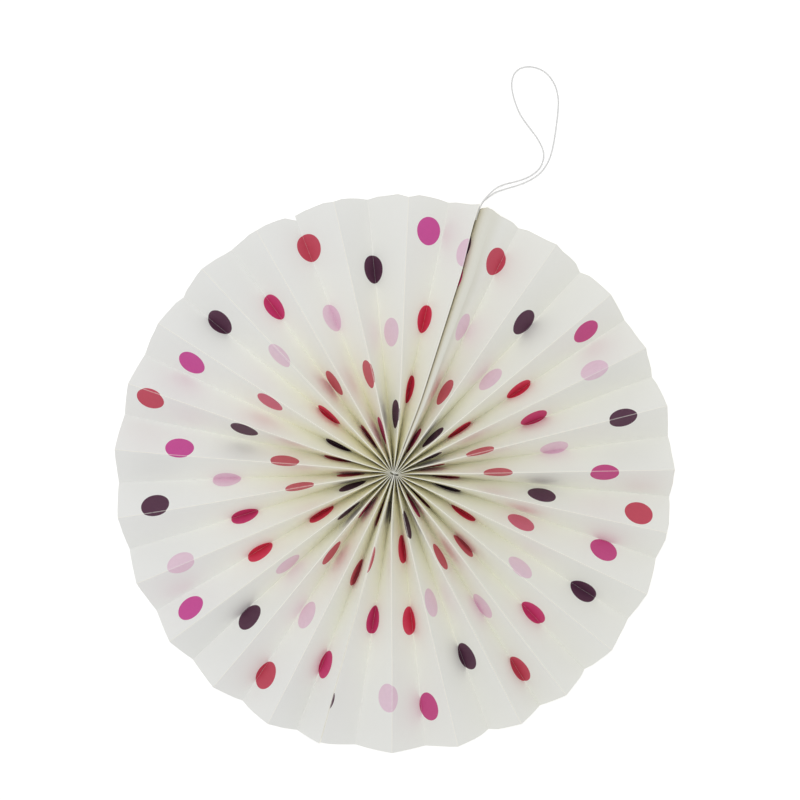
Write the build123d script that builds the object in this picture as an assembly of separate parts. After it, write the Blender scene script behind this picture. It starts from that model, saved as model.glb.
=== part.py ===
from build123d import *
import math
import os

# A paper fan rosette: two long sheets of card-weight paper, each pleated into a half circle,
# joined by glued flaps along an upper and a lower seam, gathered round a small open eye by a
# thread through punched holes, and hung by a thread loop knotted into the mouth of the upper seam.
# It lies on its back folds. Z points up out of the front face, Y towards the top of the rosette.

# ------------------------------------------------------------------ driving dimensions (mm)
RIM_RADIUS = 150.0
EYE_RADIUS = 2.4
RIM_DEPTH = 14.8
PAPER = 0.2
SEAM_BEARING = 17.6

# How far each panel opens at the rim, in degrees, counted from the upper seam to the lower one.
RIGHT_SPREAD = (
    8.4, 9.0, 7.5, 7.5, 5.5, 7.0, 6.0, 7.1, 5.4, 7.4, 6.3, 7.0, 6.3,
    6.8, 6.7, 7.0, 6.7, 6.5, 6.1, 5.7, 6.0, 7.0, 7.2, 6.8, 8.0, 6.9,
)
LEFT_SPREAD = (
    6.2, 8.4, 8.3, 7.7, 7.8, 7.8, 7.2, 7.0, 7.0, 7.2, 6.3, 7.4, 5.9,
    7.7, 6.5, 7.3, 6.7, 7.6, 6.9, 6.8, 5.9, 7.0, 6.4, 7.4, 6.0, 5.8,
)

SEAM_MOUTH = 5.0
FLAP_FOOT_GAP = 2.5
BEND_SHARE = 0.5
TAPE = 0.15
TAPE_CLEARANCE = 0.03
TAPE_MARGIN = 0.4
TAPE_START_RADIUS = 14.0
TAPE_END_MARGIN = 1.5

HOLE_RADIUS = 1.0
HOLE_EDGE_DISTANCE = 5.0
TIE_THREAD = 0.8
TIE_KNOT_RADIUS = 0.7

LOOP_THREAD = 0.8
STRAND_GAP = 0.1
KNOT_RADIUS = 1.3
KNOT_RIM_DISTANCE = 7.0
KNOT_CLEARANCE = 0.1
KNOT_FACE_SHARE = 0.5
EXIT_RUN = 7.0

# The loop's own way round, from outside the rim and back to it.
LOOP_POINTS = (
    (50.6, 149.3, 7.0),
    (55.3, 152.2, 2.2),
    (60.9, 153.9, 0.4),
    (66.9, 155.7, 0.4),
    (73.3, 158.2, 0.4),
    (79.3, 162.1, 0.4),
    (83.6, 168.0, 0.4),
    (86.0, 175.2, 0.4),
    (87.5, 184.0, 0.4),
    (88.8, 194.0, 0.4),
    (89.4, 203.2, 0.4),
    (87.0, 211.8, 0.4),
    (81.4, 218.4, 0.4),
    (73.0, 220.9, 0.4),
    (66.2, 217.2, 0.4),
    (63.5, 209.8, 0.4),
    (65.1, 201.8, 0.4),
    (68.3, 194.0, 0.4),
    (73.5, 187.0, 0.4),
    (78.6, 180.3, 0.4),
    (81.8, 172.8, 0.4),
    (79.7, 165.2, 0.4),
    (73.6, 160.4, 0.4),
    (66.5, 157.9, 0.4),
    (60.0, 156.5, 0.4),
    (54.2, 154.3, 3.4),
    (49.6, 150.0, 8.6),
)
FILLET_SHARE = 0.45

# ------------------------------------------------------------------ worked-out dimensions
PANELS = len(RIGHT_SPREAD)
MEAN_SPREAD = 180.0 / PANELS
RIGHT_ANGLE = sum(RIGHT_SPREAD)
LEFT_ANGLE = 360.0 - RIGHT_ANGLE
PANEL_WIDTH = math.hypot(RIM_RADIUS * math.radians(MEAN_SPREAD), RIM_DEPTH)
SEAM_RISE = RIM_DEPTH * 2 * MEAN_SPREAD / (RIGHT_SPREAD[0] + LEFT_SPREAD[0])
FLAP_DEPTH = SEAM_RISE - FLAP_FOOT_GAP
BEND_DROP = BEND_SHARE * FLAP_DEPTH
HALF_TAPE = TAPE / 2
HALF_GAP = HALF_TAPE + TAPE_CLEARANCE
STATIONS = (0.0, 0.5, 1.0)

# What a point of a sheet's section is: a fold that stands up, a fold that lies down,
# or a soft bend or cut edge. The point itself lies on the side that the fold closes.
CREST, VALLEY, PLAIN = "crest", "valley", "plain"


def station_radius(share):
    return EYE_RADIUS + share * (RIM_RADIUS - EYE_RADIUS)


def share_at(radius):
    return (radius - EYE_RADIUS) / (RIM_RADIUS - EYE_RADIUS)


def rise(rim_rise, rim_pitch, share):
    """Height of a standing fold: a panel keeps its own width as the pleat opens outwards."""
    width_at_rim = math.hypot(rim_pitch, rim_rise)
    kept_width = PANEL_WIDTH + share * (width_at_rim - PANEL_WIDTH)
    return math.sqrt(kept_width**2 - (share * rim_pitch) ** 2)


def seam_rise(share):
    """Height of the two folds that meet at a seam."""
    rim_pitch = RIM_RADIUS * math.radians(MEAN_SPREAD)
    return rise(SEAM_RISE, rim_pitch, share)


# ------------------------------------------------------------------ sections of a folded sheet
def sheet_section(spread, angle, mouth, share):
    """Section points of one sheet at one station, as (distance round the rim, height, kind)."""
    radius = station_radius(share)
    scale = angle / sum(spread)
    seam_gap = PAPER + HALF_GAP
    seam_top = seam_rise(share) - PAPER
    far_seam = radius * math.radians(angle) - seam_gap
    layer_pitch = (EYE_RADIUS * math.radians(angle) - 2 * seam_gap) / PANELS
    points = [
        (seam_gap, seam_top - FLAP_DEPTH, PLAIN),
        (seam_gap, seam_top - BEND_DROP, PLAIN),
        (seam_gap + mouth * share, seam_top, CREST),
    ]
    turned = 0.0
    for number in range(1, PANELS):
        turned += spread[number - 1] * scale
        place = radius * math.radians(turned)
        if share == 0.0:
            place = seam_gap + number * layer_pitch
        if number % 2:
            points.append((place, PAPER, VALLEY))
        else:
            pair = spread[number - 1] + spread[number]
            rim_rise = RIM_DEPTH * 2 * MEAN_SPREAD / pair
            rim_pitch = RIM_RADIUS * math.radians(pair / 2)
            points.append((place, rise(rim_rise, rim_pitch, share) - PAPER, CREST))
    points.append((far_seam, seam_top, CREST))
    points.append((far_seam, seam_top - FLAP_DEPTH, PLAIN))
    return points


def skins(points, thickness):
    """Front and back points of a section: a closed side gives one point, an open side two."""
    normals = []
    for (along_a, height_a, kind_a), (along_b, height_b, kind_b) in zip(points, points[1:]):
        across, up = along_b - along_a, height_b - height_a
        change = (kind_b == VALLEY) - (kind_a == VALLEY)
        lean = math.atan2(up, across) - math.asin(thickness * change / math.hypot(across, up))
        normals.append(Vector(-math.sin(lean), math.cos(lean)))
    fronts, backs = [], []
    for number, (along, height, kind) in enumerate(points):
        before = normals[max(number - 1, 0)]
        after = normals[min(number, len(normals) - 1)]
        middle = (before + after).normalized()
        corner = Vector(along, height)
        bevel = [
            (before + middle) * (thickness / (1 + before.dot(middle))),
            (middle + after) * (thickness / (1 + middle.dot(after))),
        ]
        if kind == VALLEY:
            fronts.append([corner, corner])
            backs.append([corner - bevel[0], corner - bevel[1]])
        elif kind == CREST:
            fronts.append([corner + bevel[0], corner + bevel[1]])
            backs.append([corner, corner])
        else:
            mitre = corner + (before + after) * (thickness / (1 + before.dot(after)))
            fronts.append([mitre, mitre])
            backs.append([corner, corner])
    return fronts, backs


# ------------------------------------------------------------------ solids from sections
def on_cylinder(point, radius, hand):
    """Wraps a section point onto its cylinder, clockwise (hand 1) or the other way (-1)."""
    bearing = math.radians(SEAM_BEARING) + hand * point.X / radius
    return Vector(radius * math.sin(bearing), radius * math.cos(bearing), point.Y)


def curve_controls(inner, middle, outer):
    """Control points of the parabola through three points."""
    return [inner, middle * 2 - (inner + outer) * 0.5, outer]


def ruled_face(curve_a, curve_b):
    return Face.make_bezier_surface([list(pair) for pair in zip(curve_a, curve_b)])


def end_face(corners):
    """The cut end of one panel, a slightly twisted four-sided face."""
    return Face.make_bezier_surface([[corners[0], corners[1]], [corners[3], corners[2]]])


def folded_solid(sections, radii, thickness, hand):
    """One closed solid of a sheet whose sections are given at three radii."""
    curves = []
    placed = []
    for points, radius in zip(sections, radii):
        sides = skins(points, thickness)
        placed.append([[[on_cylinder(p, radius, hand) for p in pair] for pair in side] for side in sides])
    for side in (0, 1):
        curves.append([
            [curve_controls(*(station[side][number][end] for station in placed)) for end in (0, 1)]
            for number in range(len(sections[0]))
        ])
    front, back = curves
    faces = []
    for number in range(len(front) - 1):
        front_pair = front[number][1], front[number + 1][0]
        back_pair = back[number][1], back[number + 1][0]
        faces.append(ruled_face(*front_pair))
        faces.append(ruled_face(*back_pair))
        for end in (0, 2):
            faces.append(end_face([
                front_pair[0][end], front_pair[1][end], back_pair[1][end], back_pair[0][end],
            ]))
    for number, (_, _, kind) in enumerate(sections[0]):
        if kind == PLAIN:
            continue
        open_side = front[number] if kind == CREST else back[number]
        closed_side = back[number] if kind == CREST else front[number]
        faces.append(ruled_face(*open_side))
        for end in (0, 2):
            faces.append(Face(Wire.make_polygon([
                open_side[0][end], open_side[1][end], closed_side[0][end],
            ])))
    for number in (0, -1):
        faces.append(ruled_face(front[number][0], back[number][0]))
    solid = Solid(Shell(faces))
    return solid if solid.volume > 0 else Solid(solid.wrapped.Reversed())


def folded_sheet(spread, angle, mouth, hand):
    sections = [sheet_section(spread, angle, mouth, share) for share in STATIONS]
    radii = [station_radius(share) for share in STATIONS]
    return folded_solid(sections, radii, PAPER, hand)


def seam_tape(bearing_offset):
    """Double-sided tape between two flaps, over the part of their depth where they are parallel."""
    start = share_at(TAPE_START_RADIUS)
    end = share_at(RIM_RADIUS - TAPE_END_MARGIN)
    shares = (start, (start + end) / 2, end)
    sections = []
    for share in shares:
        crest = seam_rise(share) - PAPER
        offset = math.radians(bearing_offset) * station_radius(share) - HALF_TAPE
        sections.append([
            (offset, crest - BEND_DROP - TAPE_MARGIN, PLAIN),
            (offset, crest - FLAP_DEPTH + TAPE_MARGIN, PLAIN),
        ])
    return folded_solid(sections, [station_radius(share) for share in shares], TAPE, 1)


# ------------------------------------------------------------------ threads and knots
def seam_point(radius, aside, height):
    """A point beside the upper seam: out along it, aside from it (clockwise), and up."""
    bearing = math.radians(SEAM_BEARING)
    out = Vector(math.sin(bearing), math.cos(bearing), 0)
    clockwise = Vector(math.cos(bearing), -math.sin(bearing), 0)
    return out * radius + clockwise * aside + Vector(0, 0, height)


TIE_RADIUS = EYE_RADIUS + HOLE_EDGE_DISTANCE
TIE_HEIGHT = (PANEL_WIDTH - FLAP_DEPTH) / 2

KNOT_RADIAL = RIM_RADIUS - KNOT_RIM_DISTANCE
KNOT_ROOM = KNOT_RADIUS + KNOT_CLEARANCE
KNOT_FACE = KNOT_RADIAL + KNOT_FACE_SHARE * KNOT_RADIUS
KNOT_SHARE = share_at(KNOT_RADIAL)
MOUTH_ANGLE = math.atan2(SEAM_MOUTH * KNOT_SHARE, BEND_DROP)
KNOT_ASIDE = KNOT_ROOM - HALF_GAP
KNOT_HEIGHT = seam_rise(KNOT_SHARE) - PAPER - BEND_DROP + KNOT_ROOM / math.tan(MOUTH_ANGLE / 2)
STRAND_OFFSET = (LOOP_THREAD + STRAND_GAP) / 2


def centre_tie():
    """A thread ring through every panel's hole, knotted under the flaps of the upper seam."""
    at_seam = Rot(0, 0, 90 - SEAM_BEARING)
    knot = at_seam * Pos(TIE_RADIUS, 0, TIE_HEIGHT) * Rot(90, 0, 0) * Sphere(TIE_KNOT_RADIUS)
    ring = at_seam * Pos(0, 0, TIE_HEIGHT) * Rot(0, 0, 180) * Torus(TIE_RADIUS, TIE_THREAD / 2)
    return (ring + knot).solids()[0]


def hole_tunnel():
    return Pos(0, 0, TIE_HEIGHT) * Torus(TIE_RADIUS, HOLE_RADIUS)


def loop_knot():
    """A round knot wedged in the seam's mouth, flat where the two strands leave it."""
    centre = seam_point(KNOT_RADIAL, KNOT_ASIDE, KNOT_HEIGHT)
    ball = Pos(centre) * Solid.make_sphere(KNOT_RADIUS)
    face = seam_point(KNOT_FACE, KNOT_ASIDE, KNOT_HEIGHT)
    outwards = seam_point(1, 0, 0)
    cutter = Plane(face, z_dir=outwards) * Box(4 * KNOT_RADIUS, 4 * KNOT_RADIUS, 2 * KNOT_RADIUS,
                                               align=(Align.CENTER, Align.CENTER, Align.MIN))
    return (ball - cutter).solids()[0]


def hanging_loop():
    """The loop's thread: straight runs joined by arcs as large as their runs allow."""
    leaving = [seam_point(KNOT_FACE + reach, KNOT_ASIDE, KNOT_HEIGHT - STRAND_OFFSET)
               for reach in (0, EXIT_RUN)]
    returning = [seam_point(KNOT_FACE + reach, KNOT_ASIDE, KNOT_HEIGHT + STRAND_OFFSET)
                 for reach in (EXIT_RUN, 0)]
    route = [*leaving, *(Vector(*point) for point in LOOP_POINTS), *returning]
    runs = [b - a for a, b in zip(route, route[1:])]
    radii = []
    for run, following in zip(runs, runs[1:]):
        turn = math.radians(run.get_angle(following))
        shorter = min(run.length, following.length)
        radii.append(FILLET_SHARE * shorter / math.tan(turn / 2))
    path = FilletPolyline(*route, radius=radii)
    print("loop ends", route[1], route[-2])
    print("loop radii", " ".join(f"{radius:.1f}" for radius in radii))
    print("loop runs", " ".join(f"{run.length:.1f}" for run in runs))
    tube = sweep(Plane(route[0], z_dir=runs[0]) * Circle(LOOP_THREAD / 2), path=path)
    expected = math.pi * (LOOP_THREAD / 2) ** 2 * path.length
    print(f"loop length {path.length:.1f}, volume {tube.volume:.2f} against {expected:.2f}")
    return tube.solids()[0]


# ------------------------------------------------------------------ the object
def build():
    tunnel = hole_tunnel()
    right = folded_sheet(RIGHT_SPREAD, RIGHT_ANGLE, SEAM_MOUTH, 1) - tunnel
    left = folded_sheet(LEFT_SPREAD, LEFT_ANGLE, 0.0, -1) - tunnel
    return {
        "right_sheet": right,
        "left_sheet": left,
        "upper_seam_tape": seam_tape(0.0),
        "lower_seam_tape": seam_tape(RIGHT_ANGLE),
        "centre_tie": centre_tie(),
        "loop_knot": loop_knot(),
        "hanging_loop": hanging_loop(),
    }


os.makedirs("parts", exist_ok=True)
for name, shape in build().items():
    export_step(shape, f"parts/{name}.step")
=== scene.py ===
"""Paper fan rosette: two pleated sheets round a small eye, with a tied thread and a hanging loop."""
import math

import bmesh
import bpy
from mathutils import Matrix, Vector


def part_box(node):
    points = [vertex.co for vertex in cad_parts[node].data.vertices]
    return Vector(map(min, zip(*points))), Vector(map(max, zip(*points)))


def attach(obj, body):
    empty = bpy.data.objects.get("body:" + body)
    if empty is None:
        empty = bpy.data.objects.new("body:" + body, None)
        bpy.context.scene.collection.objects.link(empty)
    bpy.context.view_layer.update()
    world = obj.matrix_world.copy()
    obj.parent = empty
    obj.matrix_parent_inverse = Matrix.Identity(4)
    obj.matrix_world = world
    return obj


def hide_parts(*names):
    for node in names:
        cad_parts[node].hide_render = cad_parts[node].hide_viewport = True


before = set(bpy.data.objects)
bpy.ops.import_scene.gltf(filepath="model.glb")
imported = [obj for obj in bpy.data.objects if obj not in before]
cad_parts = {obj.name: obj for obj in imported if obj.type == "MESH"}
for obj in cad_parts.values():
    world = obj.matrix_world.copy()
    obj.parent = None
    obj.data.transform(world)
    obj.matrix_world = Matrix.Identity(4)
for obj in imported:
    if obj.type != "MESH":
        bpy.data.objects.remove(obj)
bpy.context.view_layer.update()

MM = 0.001
TAU = 2 * math.pi

# ------------------------------------------------------------------ sizes of the folded paper
RIM_RADIUS = 150.0 * MM
EYE_RADIUS = 2.4 * MM
RIM_DEPTH = 14.8 * MM
PAPER = 0.2 * MM
SEAM_BEARING = math.radians(17.6)

# Degrees of the circle that each panel takes, from the upper seam round to the lower one.
RIGHT_SPREAD = (
    9.3, 8.45, 7.55, 7.55, 6.15, 6.9, 6.2, 6.4, 6.4, 6.8, 5.8, 7.2, 5.9,
    7.4, 6.5, 7.0, 6.9, 6.2, 5.9, 5.0, 6.8, 7.0, 6.6, 7.0, 7.7, 7.2,
)
LEFT_SPREAD = (
    6.2, 8.4, 8.7, 6.9, 8.7, 8.3, 6.7, 7.0, 7.1, 7.2, 7.2, 6.6, 6.6,
    7.2, 7.0, 7.0, 7.0, 7.0, 7.0, 6.6, 6.1, 6.8, 6.7, 6.8, 6.1, 5.3,
)
# The spread of two panels that both seams stand as high as, in degrees.
SEAM_PAIR = 14.6
PANELS = len(RIGHT_SPREAD)
MEAN_SPREAD = math.pi / PANELS
RIGHT_ANGLE = math.radians(sum(RIGHT_SPREAD))
LEFT_ANGLE = TAU - RIGHT_ANGLE
RIM_PITCH = RIM_RADIUS * MEAN_SPREAD
PANEL_WIDTH = math.hypot(RIM_PITCH, RIM_DEPTH)
SEAM_RISE = RIM_DEPTH * 2 * MEAN_SPREAD / math.radians(SEAM_PAIR)
FLAP_FOOT_GAP = 2.5 * MM
FLAP_DEPTH = SEAM_RISE - FLAP_FOOT_GAP
FLAP_TRIM = -1.0 * MM
BEND_DROP = 0.5 * FLAP_DEPTH
SEAM_GAP = 0.305 * MM
SEAM_LEAN = 1.9 * MM
CREST_GAP = 0.08 * MM

# The soft crest beside the upper seam, at the rim in mm: aside, below the fold, along the strip.
SOFT_CREST = (
    (0.2, 5.3, -6.1), (0.5, 4.45, -5.2), (1.05, 3.5, -4.1), (1.6, 2.8, -3.2), (2.1, 2.25, -2.5),
    (2.7, 1.8, -1.7), (3.3, 1.5, -1.0), (4.3, 1.25, 0.0), (5.5, 1.5, 1.2), (6.9, 2.2, 2.8),
    (8.5, 3.2, 4.7),
)
# The bend in the flap below the soft crest, along the strip, and how the cut slopes back towards it.
SOFT_FLAP_STRIP = -6.6 * MM
SOFT_TRIM_SLOPE = 0.25

# Uneven cuts at the rim, in mm past or short of it: number of the fold from the upper seam, length.
RIGHT_TRIM = {0: 0.6, 1: -1.0, 2: 0.6, 3: -1.7, 6: 0.4, 7: -0.6, 12: -0.8, 17: -0.7, 21: -0.9,
              26: -0.5}
LEFT_TRIM = {0: 0.9, 1: -0.5, 2: -1.8, 3: -0.8, 4: -1.0, 5: -0.4, 6: -0.6, 9: -0.8, 23: -0.4}
# A fold whose next panel was cut to another length than the fold itself, given the same way.
LEFT_STEPPED_TRIM = {5: -3.0}

# ------------------------------------------------------------------ the print
SPOT_RADIUS = 7.7 * MM
INKS = {
    "magenta": (0.63, 0.080, 0.27),
    "orchid": (0.67, 0.088, 0.36),
    "red": (0.62, 0.080, 0.13),
    "scarlet": (0.74, 0.055, 0.12),
    "rose": (0.63, 0.115, 0.155),
    "pink": (0.68, 0.150, 0.23),
    "raspberry": (0.66, 0.058, 0.20),
    "plum": (0.102, 0.034, 0.071),
    "lilac": (0.88, 0.66, 0.78),
}
# One repeat: panels along the strip, distance from the centre in mm, ink.
PRINT_REPEAT = 18.1
PRINT = (
    (0.8, 126.5, "red"), (0.65, 86.5, "lilac"), (1.5, 51, "rose"), (1.3, 20, "raspberry"),
    (2.7, 107, "plum"), (3.4, 72, "lilac"), (3.6, 28, "plum"), (4.5, 128, "magenta"),
    (4.9, 81, "scarlet"), (4.9, 42, "scarlet"), (5.9, 120, "lilac"), (6.4, 20, "plum"),
    (6.8, 81, "raspberry"), (7.9, 47, "rose"), (8.05, 125.5, "plum"), (8.6, 20, "red"),
    (8.8, 87.5, "lilac"), (10.0, 55, "rose"), (10.1, 112, "magenta"), (10.9, 28, "rose"),
    (11.6, 133, "red"), (11.5, 80, "plum"), (12.9, 30, "plum"), (13.3, 120.5, "magenta"),
    (13.5, 73, "pink"), (15.0, 43.5, "scarlet"), (15.0, 121, "plum"), (15.7, 84, "lilac"),
    (17.2, 54.5, "rose"), (16.9, 107, "raspberry"), (17.0, 20, "red"),
)
RIGHT_FLAP_PRINT = ((-0.49, 128, "plum"), (-0.49, 109.5, "raspberry"))

# The left sheet's print runs back from this panel and lies this many mm further out. On both sheets
# it slips a little, in panels, over part of the strip.
LEFT_PRINT_START = 24.0
LEFT_PRINT_SHIFT = 3.6
LEFT_PRINT_SLIP, LEFT_SLIP_PANELS = 0.15, (2.9, 18.3)
RIGHT_PRINT_SLIP, RIGHT_SLIP_FROM = 0.12, 21.0


def put(name, data):
    """A new object in the scene, at the origin."""
    made = bpy.data.objects.new(name, data)
    bpy.context.scene.collection.objects.link(made)
    return made


# ------------------------------------------------------------------ node trees written as formulas
class Field:
    """A node's output that can be used in sums, so that a tree reads like its formula."""

    def __init__(self, tree, socket):
        self.tree, self.socket = tree, socket

    def _with(self, operation, other, turned=False):
        first, second = (other, self) if turned else (self, other)
        return self.tree.sum(operation, first, second)

    def __add__(self, other):
        return self._with("ADD", other)

    def __radd__(self, other):
        return self._with("ADD", other, True)

    def __sub__(self, other):
        return self._with("SUBTRACT", other)

    def __rsub__(self, other):
        return self._with("SUBTRACT", other, True)

    def __mul__(self, other):
        return self._with("MULTIPLY", other)

    def __rmul__(self, other):
        return self._with("MULTIPLY", other, True)

    def __truediv__(self, other):
        return self._with("DIVIDE", other)


class Tree:
    """Adds nodes to a node tree and joins them."""

    def __init__(self, tree):
        self.tree = tree

    def feed(self, value, socket):
        self.tree.links.new(value.socket, socket)

    def add(self, kind, *values, out=0, into=None, **settings):
        """One node. values fill its live inputs in order, into fills inputs by name."""
        node = self.tree.nodes.new(kind)
        for name, value in settings.items():
            setattr(node, name, value)
        live = [socket for socket in node.inputs if socket.enabled]
        pairs = list(zip(live, values))
        for name, value in (into or {}).items():
            pairs.append((next(s for s in live if s.name == name), value))
        for socket, value in pairs:
            if value is None:
                continue
            if isinstance(value, Field):
                self.feed(value, socket)
            elif isinstance(value, (int, float)) and socket.type == "VECTOR":
                socket.default_value = (value,) * 3
            else:
                socket.default_value = value
        outputs = [socket for socket in node.outputs if socket.enabled]
        return Field(self, outputs[out] if isinstance(out, int) else node.outputs[out])

    def sum(self, operation, *values):
        vector = any(isinstance(v, Field) and v.socket.type in ("VECTOR", "RGBA") for v in values)
        vector = vector or any(isinstance(v, (tuple, Vector)) for v in values)
        kind = "ShaderNodeVectorMath" if vector else "ShaderNodeMath"
        return self.add(kind, *values, operation=operation)

    def less(self, value, limit):
        return self.add("ShaderNodeMath", value, limit, operation="LESS_THAN")

    def clamp(self, value, low=0.0, high=1.0):
        return self.add("ShaderNodeClamp", value, low, high)

    def ramp(self, value, start, end, low=0.0, high=1.0, kind="SMOOTHSTEP"):
        """value's share of the way from start to end, eased, as a number from low to high."""
        return self.add("ShaderNodeMapRange", value, start, end, low, high, interpolation_type=kind)

    def fade(self, value, span, low=0.0, high=1.0, kind="SMOOTHSTEP"):
        """A ramp over a span in mm."""
        return self.ramp(value, span[0] * MM, span[1] * MM, low, high, kind)

    def mix(self, share, first, second):
        """Between two colours."""
        node = self.tree.nodes.new("ShaderNodeMix")
        node.data_type = "RGBA"
        sockets = {"Factor": share, "A": first, "B": second}
        for name, value in sockets.items():
            socket = next(s for s in node.inputs if s.name == name and s.enabled)
            if isinstance(value, Field):
                self.feed(value, socket)
            else:
                socket.default_value = value if name == "Factor" else (*value, 1.0)
        return Field(self, next(s for s in node.outputs if s.enabled))

    def blend(self, share, first, second):
        """Between two numbers or two vectors."""
        return first + (second - first) * share

    def parts(self, vector):
        node = self.tree.nodes.new("ShaderNodeSeparateXYZ")
        self.feed(vector, node.inputs[0])
        return [Field(self, socket) for socket in node.outputs]

    def vector(self, x, y, z):
        return self.add("ShaderNodeCombineXYZ", x, y, z)

    def unit(self, vector):
        return self.add("ShaderNodeVectorMath", vector, operation="NORMALIZE")

    def stored(self, key, out="Fac"):
        """What the piece's mesh keeps under a name, for a material."""
        return self.add("ShaderNodeAttribute", out=out, attribute_name=key)


# ------------------------------------------------------------------ the fold table of a sheet
def fold_table(spread, angle, lean, trims, stepped=None, soft=False):
    """A row for each line of the folded strip: where it lies round the rim and how high it stands."""
    scale = angle / math.radians(sum(spread))
    far = EYE_RADIUS * angle - SEAM_GAP
    layer_pitch = (far - SEAM_GAP) / PANELS
    seam_fold = {"lift": 1.0, "base": -PAPER, "rim_rise": SEAM_RISE, "rim_pitch": RIM_PITCH}
    near = dict(seam_fold, turn=0.0, aside=SEAM_GAP, lean=lean)
    rows = [
        dict(near, base=-PAPER - FLAP_DEPTH, strip=-FLAP_DEPTH, trim=FLAP_TRIM),
        dict(near, base=-PAPER - BEND_DROP, strip=-BEND_DROP),
    ]
    if soft:
        # a crest that was never pressed flat: it rolls over from a steep lip to the first panel
        rows[0].update(strip=SOFT_FLAP_STRIP - FLAP_DEPTH + BEND_DROP)
        rows[1].update(strip=SOFT_FLAP_STRIP)
        for aside, drop, strip in SOFT_CREST:
            rows.append(dict(near, mouth=aside * MM, sag=drop * MM, strip=strip * MM, soft=1.0,
                             trim=(trims.get(0, 0) + SOFT_TRIM_SLOPE * min(strip, 0.0)) * MM))
    else:
        rows.append(dict(near, strip=0.0, trim=trims.get(0, 0) * MM))
    turned = 0.0
    past_fold = {**trims, **(stepped or {})}
    for number in range(1, PANELS):
        turned += math.radians(spread[number - 1]) * scale
        row = {"turn": turned, "round": 1.0, "strip": number * PANEL_WIDTH,
               "trim": trims.get(number, 0) * MM,
               "step": (past_fold.get(number, 0) - trims.get(number, 0)) * MM,
               "eye_shift": SEAM_GAP + number * layer_pitch - EYE_RADIUS * turned}
        if number % 2:
            row.update(valley=1.0, base=PAPER)
        else:
            pair = math.radians(spread[number - 1] + spread[number])
            row.update(lift=1.0, base=-PAPER, rim_pitch=RIM_RADIUS * pair / 2,
                       rim_rise=RIM_DEPTH * 2 * MEAN_SPREAD / pair)
        rows.append(row)
    last = dict(seam_fold, turn=angle, aside=-SEAM_GAP)
    end = PANELS * PANEL_WIDTH
    rows.append(dict(last, aside=CREST_GAP - SEAM_GAP, strip=end, trim=trims.get(PANELS, 0) * MM))
    rows.append(dict(last, base=-PAPER - FLAP_DEPTH, strip=end + FLAP_DEPTH, trim=FLAP_TRIM))
    return rows


def point_mesh(name, points, numbers=None, colours=None):
    """Loose points with named numbers on them, for a node tree to look up."""
    mesh = bpy.data.meshes.new(name)
    mesh.from_pydata(points, [], [])
    for key, values in (numbers or {}).items():
        mesh.attributes.new(key, "FLOAT", "POINT").data.foreach_set("value", values)
    if colours:
        tint = mesh.attributes.new("tint", "FLOAT_COLOR", "POINT")
        tint.data.foreach_set("color", [part for colour in colours for part in (*colour, 1.0)])
    return put(name, mesh)


TABLE_COLUMNS = ("turn", "aside", "eye_shift", "mouth", "sag", "lift", "base", "rim_rise",
                 "rim_pitch", "valley", "strip", "trim", "lean", "round", "soft", "step")


def table_object(name, rows):
    numbers = {key: [float(row.get(key, 0.0)) for row in rows] for key in TABLE_COLUMNS}
    return point_mesh(name, [(0.0, 0.0, 0.0)] * len(rows), numbers)


def print_object(name, spots):
    points = [(along * PANEL_WIDTH, out * MM, 0.0) for along, out, _ in spots]
    return point_mesh(name, points, colours=[INKS[ink] for _, _, ink in spots])


# ------------------------------------------------------------------ the folded sheet's tree
# The sheet's grid: points across a panel, those that belong to the fold at each side of it, and
# rows from the eye to the rim, which stand closer together towards the eye.
COLUMNS_PER_PANEL = 8
FOLD_COLUMNS = 2
SHEET_ROWS = 54
ROW_EASING = 1.25
SHEET_SIZES = (
    ("Rim Radius", RIM_RADIUS), ("Eye Radius", EYE_RADIUS), ("Panel Width", PANEL_WIDTH),
    ("Paper", PAPER), ("Seam Bearing", SEAM_BEARING), ("Hand", 1.0), ("Bow", 0.45 * MM),
    ("Sway", 0.75), ("Fold Round", 0.03 * MM), ("Rim Play", 0.35 * MM),
    ("Eye Length", 2.5 * MM), ("Eye Width", 0.8 * MM),
    ("Eye Bearing", math.radians(107.0)), ("Eye Reach", 9.0 * MM),
)
SHEET_SIDES = ("Printed Side", "Plain Side", "Cut Edge")

# Shares of the way from the eye to the rim: the seam leans over from the first to the second, and
# eases back from the third to the fourth to the part of its lean that is left at the rim.
LEAN_START, LEAN_FULL, LEAN_EASES, LEAN_OVER = 0.0, 0.3, 0.72, 0.95
LEAN_LEFT = 0.1
# From this share outwards, the paper follows the uneven cut.
TRIM_START = 0.93

# In mm from the centre: where the paper comes to its full thickness, and the folds to full roundness.
THIN_SPAN, THIN_SHARE = (6.0, 32.0), 0.7
ROUND_SPAN = (4.0, 14.0)
# Folds near the eye sway by a share of the room between them, less this much for the paper.
SWAY_MARGIN = 0.3 * MM
# How far along the rim an uneven cut reaches: at least this, and more by a share of its depth.
NOTCH_REACH, NOTCH_SLOPE = 2.4 * MM, 0.9
# The rim's play outwards, as a share of its play inwards.
OUTWARD_PLAY = 0.4
SLOT_POINTS = 64
WELD = 0.002 * MM
# Edges that bend by more than the first are shaded sharp, and on the soft crest by more than both.
SHARP_BEND, SOFT_CREST_BEND = math.radians(9.0), math.radians(28.0)


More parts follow.
